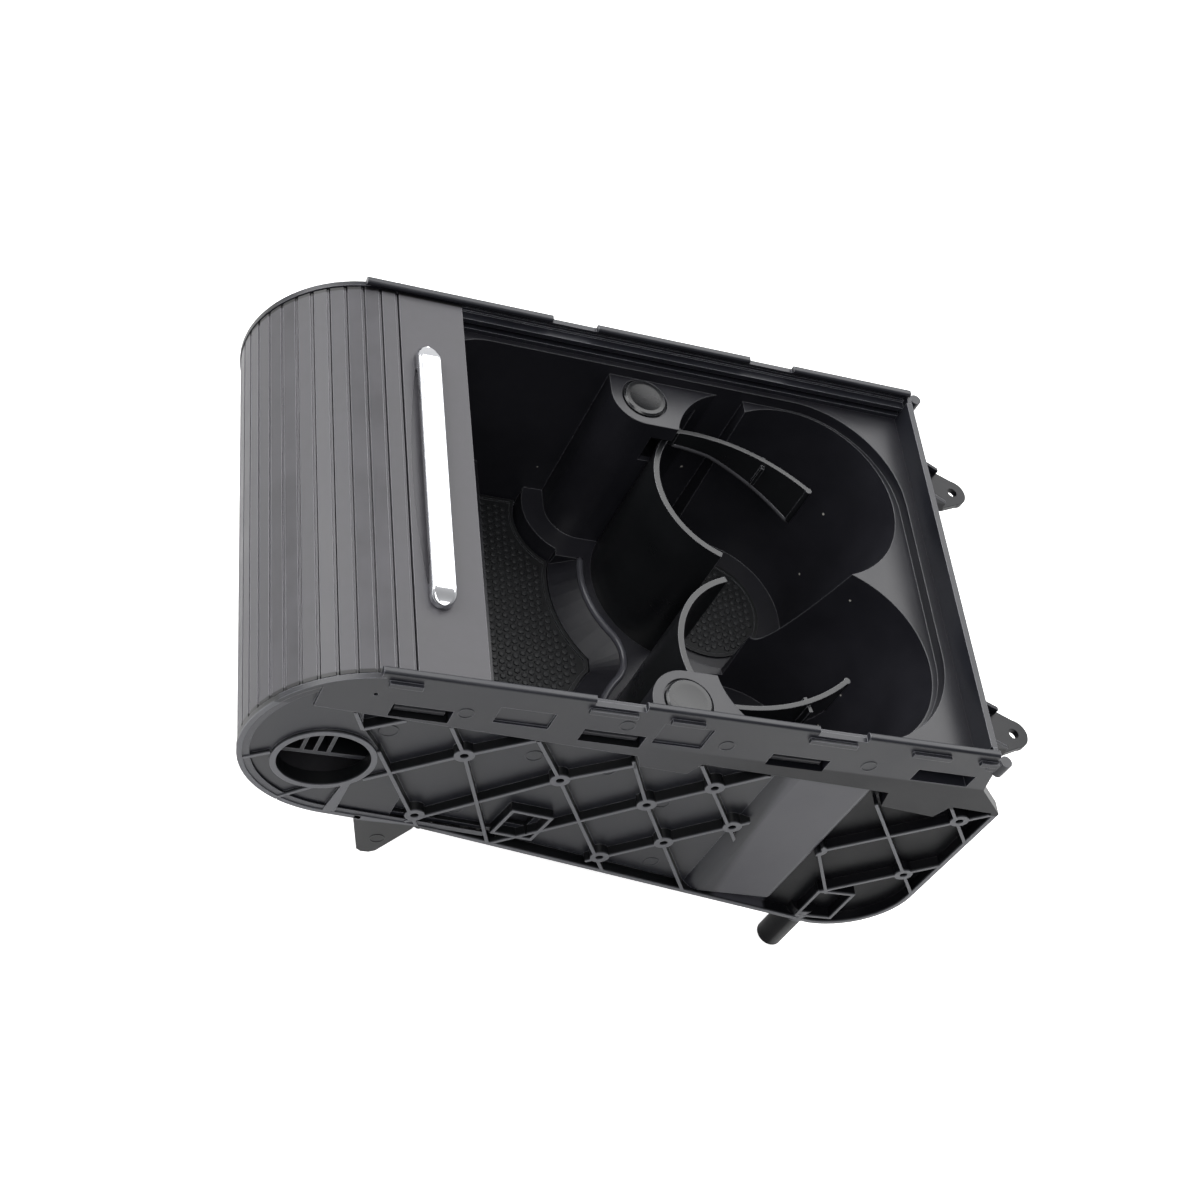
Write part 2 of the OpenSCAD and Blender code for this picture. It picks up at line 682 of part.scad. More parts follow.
module lead_bar() color("#4c4d50") place() {
    difference() {
        union() {
            block(lead_x1, lead_x + lead_l, -shutter_hw, shutter_hw, lead_z0, lead_z1);
            block(lead_x + lead_l - 2, lead_x + lead_l, -74, 74, -7.5, lead_z0 + eps);
            both(lead_x + 3, lead_x + lead_l - 3, shutter_hw - eps, shutter_hw + tongue_l, -2.3, -1.1);
        }
        // Finger recess in front of the bar, and the seats of the bar's feet.
        translate([0, 0, lead_z1 - 0.5]) linear_extrude(3) intersection() {
            translate([lead_x + 1.5 + lens_r, 0]) circle(lens_r, $fn = 360);
            translate([lead_x, -finger_foot_y - 2]) square([finger_x + 2 - lead_x, 2 * finger_foot_y + 4]);
        }
        for (y = [-1, 1]) translate([finger_x, y * finger_foot_y, -5]) cylinder(r = screw_r + 0.4, h = 10);
    }
}
module finger_bar() color("#d8dade") place() {
    difference() {
        union() {
            translate([0, 0, finger_z0]) linear_extrude(finger_z1 - finger_z0 - 1.1) finger_plan(0);
            translate([0, 0, finger_z1 - 1.1]) linear_extrude(0.8) finger_plan(0.6);
            translate([0, 0, finger_z1 - 0.3]) linear_extrude(0.3) finger_plan(1.5);
            for (y = [-1, 1]) translate([finger_x, y * finger_foot_y, lead_z1])
                cylinder(r = 3.4, h = finger_z0 - lead_z1 + 0.1);
        }
        for (y = [-1, 1]) translate([finger_x, y * finger_foot_y, -5]) cylinder(r = screw_r, h = 8);
    }
}
module finger_plan(t) {
    r = finger_w / 2;
    for (y = [-1, 1]) translate([finger_x, y * (finger_l / 2 - r)]) circle(r - t);
    translate([finger_x - r + t, -finger_l / 2 + r]) square([2 * r - 2 * t, finger_l - 2 * r]);
}
module finger_bar_screws() color("#8d9094") place() {
    for (y = [-1, 1]) translate([finger_x, y * finger_foot_y, 0]) {
        translate([0, 0, lead_z0 - 1.2]) cylinder(r = 2.8, h = 1.2);
        translate([0, 0, lead_z0]) cylinder(r = screw_r, h = 4);
    }
}
module guide_shoe(s) color("#e4e2da") place() side(s) {
    x0 = lead_x + 3;
    x1 = lead_x + lead_l - 3;
    top = lead_z0;
    under = -ledge_in - ledge_t - 0.3;
    block(x0, x1, inner_y - 2, inner_y - 0.35, under - 1.8, top);
    block(x0, x1, inner_y - 0.5, inner_y + 2.4, under - 1.8, under);
}

side_frame(1);  // side_frame_left
side_frame(-1);  // side_frame_right
rear_crossbeam();
front_tie_bar();
bin();
storage_mat();
cup_mat(1);  // cup_mat_left
cup_mat(-1);  // cup_mat_right
divider(1);  // divider_left
divider(-1);  // divider_right
pivot_cap(1);  // pivot_cap_left
pivot_cap(-1);  // pivot_cap_right
pivot_pin(1);  // pivot_pin_left
pivot_pin(-1);  // pivot_pin_right
arm_spring(1);  // arm_spring_left
arm_spring(-1);  // arm_spring_right
cup_arm(1);  // cup_arm_left
cup_arm(-1);  // cup_arm_right
slat_curtain();
lead_bar();
finger_bar();
finger_bar_screws();
guide_shoe(1);  // guide_shoe_left
guide_shoe(-1);  // guide_shoe_right
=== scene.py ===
# Car cup holder for a centre console: two ribbed side frames, an open bin with a storage pit
# and two cup wells, sprung cup arms and a slatted shutter with a chrome finger bar.
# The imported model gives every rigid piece; this script gives them their finishes and adds the
# slats that unroll, the mats' bumps, the ridge, the moulding marks, the nose's edges and the
# real finger bar.
import math

import bpy
import numpy as np
from mathutils import Matrix, Vector
from mathutils.bvhtree import BVHTree


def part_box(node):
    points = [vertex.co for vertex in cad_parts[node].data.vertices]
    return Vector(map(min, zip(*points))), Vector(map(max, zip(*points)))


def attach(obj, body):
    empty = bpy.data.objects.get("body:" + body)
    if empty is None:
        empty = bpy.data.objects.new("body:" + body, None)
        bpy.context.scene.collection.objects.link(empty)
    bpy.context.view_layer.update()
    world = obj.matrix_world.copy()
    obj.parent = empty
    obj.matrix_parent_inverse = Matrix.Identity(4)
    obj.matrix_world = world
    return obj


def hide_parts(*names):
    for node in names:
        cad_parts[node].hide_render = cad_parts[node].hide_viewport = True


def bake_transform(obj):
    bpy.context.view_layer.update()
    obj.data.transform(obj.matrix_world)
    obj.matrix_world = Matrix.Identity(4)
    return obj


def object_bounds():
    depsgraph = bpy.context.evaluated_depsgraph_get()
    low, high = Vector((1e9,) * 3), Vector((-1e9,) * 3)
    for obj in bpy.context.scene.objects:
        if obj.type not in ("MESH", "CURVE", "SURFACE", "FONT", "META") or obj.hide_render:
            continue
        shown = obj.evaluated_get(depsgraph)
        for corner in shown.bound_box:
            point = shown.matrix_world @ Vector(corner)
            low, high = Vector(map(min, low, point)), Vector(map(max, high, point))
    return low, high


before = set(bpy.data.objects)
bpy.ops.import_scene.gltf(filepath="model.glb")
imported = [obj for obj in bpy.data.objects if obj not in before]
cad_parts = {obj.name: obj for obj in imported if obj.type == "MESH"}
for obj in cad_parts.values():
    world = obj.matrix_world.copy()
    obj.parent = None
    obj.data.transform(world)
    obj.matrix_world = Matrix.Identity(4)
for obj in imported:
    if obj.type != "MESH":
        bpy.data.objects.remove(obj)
cad_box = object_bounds()

# Camera: the photograph looks down past the nose and the right side frame, tilted a little.
# Its place and its turn were solved from the straight edges of the side frames.
camera = bpy.data.objects.new("camera", bpy.data.cameras.new("camera"))
bpy.context.collection.objects.link(camera)
bpy.context.scene.camera = camera
camera.data.sensor_width = 36
camera.data.lens = 59.6
camera.data.clip_start = 0.05
camera.data.clip_end = 20
camera_right = Vector((0.92197971, -0.09735393, 0.37480079))
camera_up = Vector((-0.14468467, 0.81118019, 0.56661543))
camera_back = Vector((-0.35919322, -0.57663586, 0.73380605))
camera.matrix_world = Matrix.Translation((-0.411167, -0.42476, 0.509806)) @ Matrix(
    (camera_right, camera_up, camera_back)
).transposed().to_4x4()


# Side frames, rear crossbeam and front tie bar: injection-moulded ABS, black, with a fine
# spark-eroded grain. The rounded rib edges are painted paler, partly as wear and partly as a
# painted highlight where light catches them, and the wide faces shift a little in gloss where
# the melt cooled at different speeds.
def paint(code):
    """A hex sRGB colour as linear RGBA."""
    parts = [int(code[i : i + 2], 16) / 255 for i in (1, 3, 5)]
    return [c / 12.92 if c <= 0.04045 else ((c + 0.055) / 1.055) ** 2.4 for c in parts] + [1]


def finish(name, **numbers):
    """A new material and its shader, with plain numbers for the shader's sockets."""
    material = bpy.data.materials.new(name)
    material.use_nodes = True
    shader = material.node_tree.nodes["Principled BSDF"]
    for socket, value in numbers.items():
        shader.inputs[socket.replace("_", " ")].default_value = value
    return material, shader


def node(material, kind, inputs=None, **settings):
    """Adds a node with its settings; inputs holds a value or another node's output each."""
    made = material.node_tree.nodes.new(kind)
    for name, value in settings.items():
        setattr(made, name, value)
    for name, value in (inputs or {}).items():
        if isinstance(value, bpy.types.NodeSocket):
            material.node_tree.links.new(value, made.inputs[name])
        else:
            made.inputs[name].default_value = value
    return made


def moulded(name, face, edge, roughness, grain_mm, grain_depth, cloud_mm=28.0, edge_mm=0.35):
    """Moulded plastic: cloudy colour, rounded edges painted pale as wear and as a painted
    highlight, uneven gloss and a raised grain.
    """
    material, shader = finish(name, IOR=1.5)
    here = node(material, "ShaderNodeTexCoord").outputs["Object"]
    cloud = node(
        material, "ShaderNodeTexNoise",
        {"Vector": here, "Scale": 1000 / cloud_mm, "Detail": 3.0, "Roughness": 0.55},
    ).outputs["Fac"]
    grain = node(
        material, "ShaderNodeTexNoise",
        {"Vector": here, "Scale": 1000 / grain_mm, "Detail": 2.0, "Roughness": 0.6},
    ).outputs["Fac"]
    rounded = node(
        material, "ShaderNodeBevel", {"Radius": edge_mm / 1000}, samples=4
    ).outputs["Normal"]
    flat = node(material, "ShaderNodeNewGeometry").outputs["Normal"]
    turned = node(
        material, "ShaderNodeVectorMath", {0: rounded, 1: flat}, operation="DOT_PRODUCT"
    ).outputs["Value"]
    # Painted highlight and wear: the rounded edges take the pale edge colour.
    edge_wear_and_highlight = node(
        material, "ShaderNodeMapRange",
        {"Value": turned, "From Min": 0.99, "From Max": 0.8, "To Min": 0.0, "To Max": 1.0},
    ).outputs["Result"]
    patchy = node(
        material, "ShaderNodeMapRange",
        {"Value": cloud, "From Min": 0.3, "From Max": 0.7, "To Min": 0.8, "To Max": 1.2},
    ).outputs["Result"]
    plain = node(
        material, "ShaderNodeVectorMath", {0: paint(face)[:3], "Scale": patchy}, operation="SCALE"
    ).outputs["Vector"]
    tone = node(
        material, "ShaderNodeMix", {"Factor": edge_wear_and_highlight, 6: plain, 7: paint(edge)}, data_type="RGBA"
    ).outputs[2]
    gloss = node(
        material, "ShaderNodeMapRange",
        {"Value": cloud, "From Min": 0.3, "From Max": 0.7,
         "To Min": roughness - 0.05, "To Max": roughness + 0.06},
    ).outputs["Result"]
    raised = node(
        material, "ShaderNodeBump",
        {"Height": grain, "Normal": rounded, "Strength": 0.35, "Distance": grain_depth / 1000},
    ).outputs["Normal"]
    for socket, source in (("Base Color", tone), ("Roughness", gloss), ("Normal", raised)):
        material.node_tree.links.new(source, shader.inputs[socket])
    return material


def dress(material, *names):
    """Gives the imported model's nodes this material."""
    for name in names:
        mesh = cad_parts[name].data
        if not mesh.materials:
            mesh.materials.append(material)
        for i in range(len(mesh.materials)):
            mesh.materials[i] = material


def repaint(material, mask, code):
    """Blends one more colour over the material's own where the mask is 1."""
    shader = material.node_tree.nodes["Principled BSDF"]
    below = shader.inputs["Base Color"].links[0].from_socket
    tone = node(
        material, "ShaderNodeMix", {"Factor": mask, 6: below, 7: paint(code)}, data_type="RGBA"
    ).outputs[2]
    material.node_tree.links.new(tone, shader.inputs["Base Color"])


def where(material, *limits, most=1.0):
    """A mask that is at its most where every value has run from its first limit to its last."""
    mask = most
    for value, first, last in limits:
        passed = node(
            material, "ShaderNodeMapRange", {"Value": value, "From Min": first, "From Max": last}
        ).outputs["Result"]
        mask = node(
            material, "ShaderNodeMath", {0: mask, 1: passed}, operation="MULTIPLY"
        ).outputs["Value"]
    return mask


# The real grain is about 0.15 mm; it is drawn at 0.6 mm so that it shows.
frame_abs = moulded(
    "moulded_abs_black", "#1e1f25", "#8b8c93", roughness=0.36, grain_mm=0.6, grain_depth=0.05
)
place = node(
    frame_abs, "ShaderNodeSeparateXYZ",
    {"Vector": node(frame_abs, "ShaderNodeTexCoord").outputs["Object"]},
).outputs
facing = node(
    frame_abs, "ShaderNodeSeparateXYZ",
    {"Vector": node(frame_abs, "ShaderNodeNewGeometry").outputs["True Normal"]},
).outputs
outward = node(
    frame_abs, "ShaderNodeMath", {0: place["Y"]}, operation="ABSOLUTE"
).outputs["Value"]
sideways = node(
    frame_abs, "ShaderNodeMath", {0: facing["Y"]}, operation="ABSOLUTE"
).outputs["Value"]

# The band's stepped lower edge, in millimetres behind the nose's front and under the rails'
# top. The model's origin lies nose_x behind the one and rail_z under the other. A colour ramp
# holds each depth as a grey level.
nose_x, rail_z = 284, 23
band_length, ramp_depth = 278, 50
edge_line = ((0, 20.8), (18, 20.8), (131, 26.3), (132, 33), (153, 33.5), (154, 26.5), (229, 29.5),
             (230, 38.5), (254, 41.5), (256, 34), (278, 35))
along = node(
    frame_abs, "ShaderNodeMapRange",
    {"Value": place["X"], "From Min": -nose_x / 1000, "From Max": (band_length - nose_x) / 1000},
).outputs["Result"]
steps = node(frame_abs, "ShaderNodeValToRGB", {"Fac": along})
while len(steps.color_ramp.elements) < len(edge_line):
    steps.color_ramp.elements.new(0.5)
for stop, (x, depth) in zip(steps.color_ramp.elements, edge_line):
    stop.position = x / band_length
for stop, (x, depth) in zip(steps.color_ramp.elements, edge_line):
    stop.color = (depth / ramp_depth, depth / ramp_depth, depth / ramp_depth, 1)
band_edge = node(
    frame_abs, "ShaderNodeMath",
    {0: steps.outputs["Color"], 1: -ramp_depth / 1000, 2: (rail_z - 0.4) / 1000},
    operation="MULTIPLY_ADD",
).outputs["Value"]
height = node(
    frame_abs, "ShaderNodeMath", {0: place["Z"], 1: band_edge}, operation="SUBTRACT"
).outputs["Value"]
below_rails = (place["Z"], 0.004, 0.003)
below_edge = (height, 0.0, -0.0004)
inside_rim = (outward, 0.0843, 0.084)

# Below the band the ribs' sides are painted nearly black, as painted shade, and their outer
# faces are painted pale, as a painted highlight. The underside of the nose and the pegs are
# painted dark, as painted shade.
# Painted shade on the ribs' sides below the band.
rib_side_shade = where(frame_abs, below_rails, (sideways, 0.7, 0.3))
repaint(frame_abs, rib_side_shade, "#0b0c0e")
# Painted highlight on the ribs' outer faces.
rib_face_highlight = where(frame_abs, below_edge, (outward, 0.0843, 0.0849), most=0.6)
repaint(frame_abs, rib_face_highlight, "#6a6b70")
# Painted shade under the nose and on the pegs.
under_nose = where(frame_abs, (place["Z"], -0.0635, -0.0642), (place["X"], -0.2, -0.21))
repaint(frame_abs, under_nose, "#121315")
pegs = where(frame_abs, (place["Z"], -0.105, -0.107))
repaint(frame_abs, pegs, "#17181a")

# The band's deeper rear part and the screw lugs are painted darker, as painted shade.
rear_band_shade = where(frame_abs, below_rails, (height, -0.0004, 0.0), (place["X"], -0.16, -0.1))
repaint(frame_abs, rear_band_shade, "#101115")
# Painted shade on the screw lugs.
lugs = where(frame_abs, (place["X"], -0.006, -0.005))
repaint(frame_abs, lugs, "#101115")

# The smooth panel over the cup wells has a paler field between two slanting lines, a painted
# reflection of the white floor, and the deep pockets behind it are painted almost black, as
# painted shade.
slant = node(
    frame_abs, "ShaderNodeMath", {0: place["Z"], 1: 0.12, 2: place["X"]}, operation="MULTIPLY_ADD"
).outputs["Value"]
# Painted reflection of the floor in the field between the slanting lines.
painted_floor_reflection = where(
    frame_abs, (slant, -0.0965, -0.0935), (place["X"], -0.0592, -0.0602), below_edge, inside_rim
)
repaint(frame_abs, painted_floor_reflection, "#404046")
# Painted shade in the deep pockets behind the panel.
behind = where(frame_abs, (place["X"], -0.0592, -0.0582), inside_rim, below_edge)
repaint(frame_abs, behind, "#0d0d10")

# The dark places at the rear are also duller, so that they take less of the room's white.
rear = node(
    frame_abs, "ShaderNodeMath", {0: rear_band_shade, 1: lugs}, operation="MAXIMUM"
).outputs["Value"]
rear_matt = node(
    frame_abs, "ShaderNodeMath", {0: rear, 1: 0.7}, operation="MULTIPLY"
).outputs["Value"]
matt = node(
    frame_abs, "ShaderNodeMath", {0: rear_matt, 1: behind}, operation="MAXIMUM"
).outputs["Value"]
dull = node(
    frame_abs, "ShaderNodeMapRange", {"Value": matt, "To Min": 0.5, "To Max": 0.15}
).outputs["Result"]
frame_shader = frame_abs.node_tree.nodes["Principled BSDF"]
frame_abs.node_tree.links.new(dull, frame_shader.inputs["Specular IOR Level"])
dress(frame_abs, "side_frame_left", "side_frame_right", "rear_crossbeam", "front_tie_bar")


# Ejector marks: the mould's pins leave shallow rings on the frames' band, panels and nose.
# Each is a thin raised ring on the face that it was pressed into, on both side frames, and a
# place is skipped where the face under its ring isn't flat.
def at(x, y, z):
    """A point given in millimetres from the nose's front, the middle and the rails' top."""
    return Vector(((x - nose_x) / 1000, y / 1000, (z + rail_z) / 1000))


def piece(name, points, faces, body, material, smooth=False):
    """A mesh in the row frame that rides on a body."""
    mesh = bpy.data.meshes.new(name)
    mesh.from_pydata([tuple(p) for p in points], [], faces)
    mesh.update()
    mesh.materials.append(material)
    if smooth:
        mesh.shade_smooth()
    made = bpy.data.objects.new(name, mesh)
    bpy.context.collection.objects.link(made)
    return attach(made, body) if body else made


both_sides = (("left", 1), ("right", -1))
mark_places = [(16, -44, 3.4), (47, -35, 3.2), (14, -66, 2.8), (58, -52, 3.2), (84, -52, 3.2),
               (62, -98, 2.6), (93, -62, 2.8), (118, -62, 3.0), (127, -42, 3.0), (99, -39, 3.0),
               (132, -77, 3.0), (128, -100, 2.8), (84, -78, 3.0), (66, -14, 2.6), (120, -9, 2.6),
               (158, -13, 2.6), (213, -14, 2.8), (155, -60, 2.8), (168, -100, 2.8)]
mark_sides = 28
mark_section = ((-0.3, -0.02), (-0.16, 0.2), (0.16, 0.2), (0.3, -0.02))
mark_reach, mark_flat = 0.4, 1e-4
clear_y = 92
around = [
    (math.cos(math.tau * k / mark_sides), math.sin(math.tau * k / mark_sides))
    for k in range(mark_sides)
]
for side, sign in both_sides:
    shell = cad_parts[f"side_frame_{side}"]
    tree = BVHTree.FromPolygons(
        [v.co for v in shell.data.vertices], [p.vertices for p in shell.data.polygons]
    )
    points, faces = [], []
    for x, z, ring_r in mark_places:
        hits = [
            tree.ray_cast(at(x + r * c, sign * clear_y, z + r * s), Vector((0, -sign, 0)))[0]
            for r in (ring_r - mark_reach, ring_r + mark_reach)
            for c, s in around
        ]
        if None in hits or max(h.y for h in hits) - min(h.y for h in hits) > mark_flat:
            continue
        y = hits[0].y * 1000
        first = len(points)
        for wider, out in mark_section:
            r = ring_r + wider
            points += [at(x + r * c, y + sign * out, z + r * s) for c, s in around]
        for k in range(mark_sides):
            for ring in range(len(mark_section) - 1):
                a = first + mark_sides * ring + k
                b = first + mark_sides * ring + (k + 1) % mark_sides
                quad = (a, b, b + mark_sides, a + mark_sides)
                faces.append(quad if sign < 0 else quad[::-1])
    piece(
        f"ejector_marks_{side}", points, faces, "housing", frame_abs, smooth=True
    )

# Nose edges: the nose plate runs out to the rim, and the rim goes on under the nose as far as
# the front peg, over the ends of the slats. Thin strips of the frame's own moulding.
nose_r, nose_last, nose_steps = 42.5, 264, 48
run_slope = math.radians(-6)
plate_section = [(1.7, 84.2), (1.7, 84.6), (4.2, 84.6), (4.2, 84.2)]
rim_section = [(0, 83), (0, 85), (1.8, 85), (1.8, 84.2), (0.85, 84.2), (0.85, 83)]


def edge_strip(name, sign, start, run, section):
    """A strip from an angle round the nose, then straight on along the sloping underside.

    The section holds pairs of depth inside the nose's edge and distance from the middle.
    """
    turns = [
        math.radians(start + (nose_last - start) * k / nose_steps) for k in range(nose_steps + 1)
    ]
    line = [(math.cos(t), math.sin(t), 0.0) for t in turns]
    line.append((*line[-1][:2], run))
    points, faces = [], []
    for c, s, on in line:
        for depth, out in section:
            x = nose_r + (nose_r - depth) * c + on * math.cos(run_slope)
            z = -nose_r + (nose_r - depth) * s + on * math.sin(run_slope)
            points.append(at(x, sign * out, z))
    count = len(section)
    for i in range(len(line) - 1):
        for k in range(count):
            a, b = i * count + k, i * count + (k + 1) % count
            quad = (a, b, b + count, a + count)
            faces.append(quad if sign > 0 else quad[::-1])
    ends = [tuple(range(count)), tuple(range(len(points) - count, len(points)))[::-1]]
    faces += ends if sign < 0 else [e[::-1] for e in ends]
    piece(name, points, faces, "housing", frame_abs)


for side, sign in both_sides:
    edge_strip(f"nose_plate_edge_{side}", sign, 127, 60, plate_section)
    edge_strip(f"nose_rim_{side}", sign, 240.4, 14.2, rim_section)

# Bin: one deep polypropylene moulding, near black, with a soft sheen on its shelves. Its real
# grain is too fine to show, so it is drawn at 0.8 mm. A few specks of dust lie in it: one cell
# in five of a pattern of 11 mm holds one, a millimetre wide or less.
bin_pp = moulded(
    "moulded_polypropylene_black", "#1d1d22", "#5d5e62",
    roughness=0.36, grain_mm=0.8, grain_depth=0.03, edge_mm=0.5,
)
here = node(bin_pp, "ShaderNodeTexCoord").outputs["Object"]
cells = node(bin_pp, "ShaderNodeTexVoronoi", {"Vector": here, "Scale": 90.0})
speck = node(
    bin_pp, "ShaderNodeMath", {0: cells.outputs["Distance"], 1: 0.05}, operation="LESS_THAN"
).outputs["Value"]
chosen = node(
    bin_pp, "ShaderNodeSeparateColor", {"Color": cells.outputs["Color"]}
).outputs["Red"]
rare = node(
    bin_pp, "ShaderNodeMath", {0: chosen, 1: 0.8}, operation="GREATER_THAN"
).outputs["Value"]
dust = node(
    bin_pp, "ShaderNodeMath", {0: speck, 1: rare}, operation="MULTIPLY"
).outputs["Value"]
repaint(bin_pp, dust, "#a8a6a0")
dress(bin_pp, "bin")


# Ridge: the bank behind the pit is rolled over along its top, where the bin's polypropylene is
# smooth, so that it carries one long winding highlight across the bin. Its colour is painted
# paler than the bin's, as a painted highlight. It runs round both divider columns and through
# the nook between them.
def tube(name, line, radius, sides, body, material):
    """A round bead along a line of points, closed at both ends."""
    points, faces = [], []
    for i, p in enumerate(line):
        forward = (line[min(i + 1, len(line) - 1)] - line[max(i - 1, 0)]).normalized()
        across = forward.cross(Vector((0, 0, 1))).normalized()
        over = across.cross(forward)
        for k in range(sides):
            turn = math.tau * k / sides
            points.append(p + radius * (math.cos(turn) * across + math.sin(turn) * over))
    for i in range(len(line) - 1):
        for k in range(sides):
            a, b = i * sides + k, i * sides + (k + 1) % sides
            faces.append((a, b, b + sides, a + sides))
    faces += [tuple(range(sides))[::-1], tuple(range(len(points) - sides, len(points)))]
    return piece(name, points, faces, body, material, smooth=True)


ring_x, ring_y, ridge_r, ridge_z, nook_x = 187, 38, 40.5, -87.3, 144
ring_steps, nook_steps = 24, 16
ring_start = math.radians(170)
reach = math.hypot(ring_x - nook_x, ring_y)
lean = math.atan2(ring_y, ring_x - nook_x)
ridge = []
for k in range(ring_steps + 1):
    turn = ring_start + (math.pi + lean - ring_start) * k / ring_steps
    ridge.append((ring_x + ridge_r * math.cos(turn), ring_y + ridge_r * math.sin(turn)))
for k in range(1, nook_steps):
    turn = lean - 2 * lean * k / nook_steps
    ridge.append((nook_x + (reach - ridge_r) * math.cos(turn), (reach - ridge_r) * math.sin(turn)))
ridge += [(x, -y) for x, y in reversed(ridge[: ring_steps + 1])]
ridge_line = [at(x, y, ridge_z) for x, y in ridge]
# Painted highlight: the ridge's colour is paler than the bin's.
ridge_pp = moulded(
    "ridge_painted_highlight", "#45454b", "#7d7e82",
    roughness=0.2, grain_mm=0.8, grain_depth=0.02, edge_mm=0.3,
)
tube("bank_ridge", ridge_line, 0.0015, 14, "housing", ridge_pp)

# Mats: black nitrile rubber, matt, pressed in a mould with rows of small six-sided bumps on
# the floor inside a raised rim. They lie loose in the pit and in both cup wells. The bumps are
# painted a little paler than the floor between, as a painted highlight on their tops.
rubber = moulded(
    "pressed_nitrile_rubber", "#111214", "#5a5b5f",
    roughness=0.58, grain_mm=0.9, grain_depth=0.04, cloud_mm=14.0, edge_mm=0.35,
)
# Painted highlight: the bumps are painted paler than the mat's floor.
bump_rubber = moulded(
    "nitrile_bumps_painted_highlight", "#1d1e20", "#46474b",
    roughness=0.5, grain_mm=0.9, grain_depth=0.04, cloud_mm=14.0, edge_mm=0.12,
)
for material in (rubber, bump_rubber):
    material.node_tree.nodes["Principled BSDF"].inputs["Specular IOR Level"].default_value = 0.38
dress(rubber, "storage_mat", "cup_mat_left", "cup_mat_right")

bump_pitch, bump_r, bump_h = 3.4, 1.42, 0.6
bump_room, bump_sides = 1.8, 6
row_pitch = bump_pitch * 0.866
bump_section = ((bump_r, -0.02), (bump_r * 0.86, bump_h * 0.75), (bump_r * 0.55, bump_h))
corners = [
    (math.cos(math.tau * k / bump_sides + 0.5236), math.sin(math.tau * k / bump_sides + 0.5236))
    for k in range(bump_sides)
]
for name, mat_z in (("storage_mat", -96.0), ("cup_mat_left", -93.5), ("cup_mat_right", -93.5)):
    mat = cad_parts[name]
    tree = BVHTree.FromPolygons(
        [v.co for v in mat.data.vertices], [p.vertices for p in mat.data.polygons]
    )
    low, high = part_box(name)
    points, faces = [], []
    rows = int((high.x - low.x) * 1000 / row_pitch) + 1
    for i in range(rows):
        x = low.x * 1000 + nose_x + i * row_pitch
        y = low.y * 1000 + (bump_pitch / 2 if i % 2 else 0)
        while y < high.y * 1000:
            under = [
                tree.ray_cast(
                    at(x + bump_room * c, y + bump_room * s, mat_z + 4), Vector((0, 0, -1))
                )[0]
                for c, s in corners
            ]
            if all(h is not None and abs(h.z - at(0, 0, mat_z).z) < 1e-5 for h in under):
                first = len(points)
                for r, h in bump_section:
                    points += [at(x + r * c, y + r * s, mat_z + h) for c, s in corners]
                for k in range(bump_sides):
                    for ring in (0, bump_sides):
                        a, b = first + ring + k, first + ring + (k + 1) % bump_sides
                        faces.append((a, b, b + bump_sides, a + bump_sides))
                faces.append(tuple(range(first + 2 * bump_sides, first + 3 * bump_sides)))
            y += bump_pitch
    piece(f"{name}_bumps", points, faces, "housing", bump_rubber)

# Dividers, cup arms and pivot caps: moulded ABS with a finer, smoother grain than the frames.
# The dividers slide into the columns, and the arms' hubs turn on steel pins under the caps.
arm_abs = moulded(
    "moulded_abs_satin", "#131416", "#7c7d81",
    roughness=0.3, grain_mm=0.5, grain_depth=0.03, edge_mm=0.45,
)
dress(arm_abs, "divider_left", "divider_right", "cup_arm_left", "cup_arm_right")
dress(arm_abs, "pivot_cap_left", "pivot_cap_right")

# Arm beads: the arms' lower edges are rolled into a thin bead, which gives the blade its
# stiffness. The bead is painted paler than the arm, as a painted highlight.
# Painted highlight: the bead's colour is paler than the arm's.
bead_abs = moulded(
    "abs_bead_painted_highlight", "#4a4a4e", "#8d8e91",
    roughness=0.25, grain_mm=0.5, grain_depth=0.03, edge_mm=0.3,
)
blade_x, blade_y, blade_r = 168, -12, 74
bead_from, bead_to, bead_steps = 93, 49, 32
low_edge_x, low_edge_z = (140, 160, 180, 206, 220), (-33, -29, -31, -38, -42)
for side, sign in both_sides:
    bead = []
    for k in range(bead_steps + 1):
        turn = math.radians(bead_from + (bead_to - bead_from) * k / bead_steps)
        x = blade_x + blade_r * math.cos(turn)
        z = float(np.interp(x, low_edge_x, low_edge_z))
        bead.append(at(x, sign * (blade_y + blade_r * math.sin(turn)), z))
    tube(f"arm_bead_{side}", bead, 0.0012, 12, f"arm_{side}", bead_abs)

# Pivot pins, torsion springs and finger-bar screws: zinc-plated steel, drawn or headed.
# The plating is bright but slightly clouded, with fine marks along the drawn wire.
zinc, zinc_shader = finish("zinc_plated_steel", Metallic=1.0)
here = node(zinc, "ShaderNodeTexCoord").outputs["Object"]
drawn = node(
    zinc, "ShaderNodeMapping", {"Vector": here, "Scale": (2200, 2200, 160)}
).outputs["Vector"]
marks = node(
    zinc, "ShaderNodeTexNoise", {"Vector": drawn, "Scale": 1.0, "Detail": 3.0}
).outputs["Fac"]
zinc_tone = node(
    zinc, "ShaderNodeMix", {"Factor": marks, 6: paint("#9b9ea3"), 7: paint("#c9cbce")},
    data_type="RGBA",
).outputs[2]
zinc_gloss = node(
    zinc, "ShaderNodeMapRange", {"Value": marks, "To Min": 0.22, "To Max": 0.42}
).outputs["Result"]
zinc.node_tree.links.new(zinc_tone, zinc_shader.inputs["Base Color"])
zinc.node_tree.links.new(zinc_gloss, zinc_shader.inputs["Roughness"])
dress(zinc, "pivot_pin_left", "pivot_pin_right", "arm_spring_left", "arm_spring_right")
dress(zinc, "finger_bar_screws")

